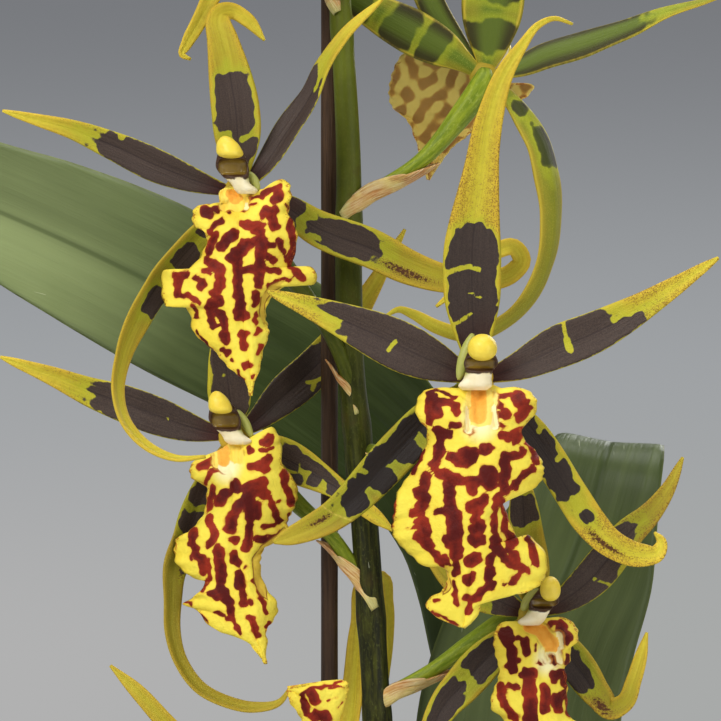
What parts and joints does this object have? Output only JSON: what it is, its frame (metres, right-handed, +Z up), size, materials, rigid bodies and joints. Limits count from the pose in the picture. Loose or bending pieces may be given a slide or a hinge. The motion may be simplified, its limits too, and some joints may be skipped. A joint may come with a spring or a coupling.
{
  "type": "cambria orchid",
  "caption": "Cambria orchid in a plain round pot: a staked spike of open star-shaped blooms with patterned lips, buds, strap leaves and pseudobulbs set in bark mix.",
  "frame": {"origin": "centre of the pot's underside", "axes": "+X is the viewer's right, +Y away from the viewer of the picture, +Z up along the pot's axis"},
  "size_m": [0.3833, 0.2828, 0.6003],
  "materials": {
    "pot": "satin black moulded plastic",
    "bark": "rough brown bark chips",
    "bulb": "waxy green, ribbed",
    "leaf": "satin green leaf with fine veins",
    "stem": "satin green stem",
    "stake": "matt dark brown stick",
    "clip": "satin green coated wire",
    "bract": "dry papery brown",
    "tepal": "waxy dark brown on yellow-green",
    "lip": "soft yellow with dark red markings",
    "column": "waxy cream and yellow",
    "bud": "waxy yellow-green"
  },
  "bodies": {
    "root": {"bark_mix": "bark", "bloom_1_bract": "bract", "bloom_1_column": "column", "bloom_1_lip": "lip", "bloom_1_tepals": "tepal", "bloom_2_bract": "bract", "bloom_2_column": "column", "bloom_2_lip": "lip", "bloom_2_tepals": "tepal", "bloom_3_bract": "bract", "bloom_3_column": "column", "bloom_3_lip": "lip", "bloom_3_tepals": "tepal", "bloom_4_bract": "bract", "bloom_4_column": "column", "bloom_4_lip": "lip", "bloom_4_tepals": "tepal", "bloom_5_bract": "bract", "bloom_5_column": "column", "bloom_5_lip": "lip", "bloom_5_tepals": "tepal", "bloom_6_bract": "bract", "bloom_6_column": "column", "bloom_6_lip": "lip", "bloom_6_tepals": "tepal", "bloom_7_bract": "bract", "bloom_7_column": "column", "bloom_7_lip": "lip", "bloom_7_tepals": "tepal", "bud_1": "bud", "bud_1_bract": "bract", "bud_2": "bud", "bud_2_bract": "bract", "bud_3": "bud", "bud_3_bract": "bract", "clip_1": "clip", "clip_2": "clip", "leaf_1": "leaf", "leaf_2": "leaf", "leaf_3": "leaf", "leaf_4": "leaf", "leaf_5": "leaf", "leaf_6": "leaf", "leaf_7": "leaf", "leaf_8": "leaf", "leaf_9": "leaf", "pot": "pot", "pseudobulb_1": "bulb", "pseudobulb_2": "bulb", "pseudobulb_3": "bulb", "spike": "stem", "stake": "stake"}
  },
  "joints": []
}
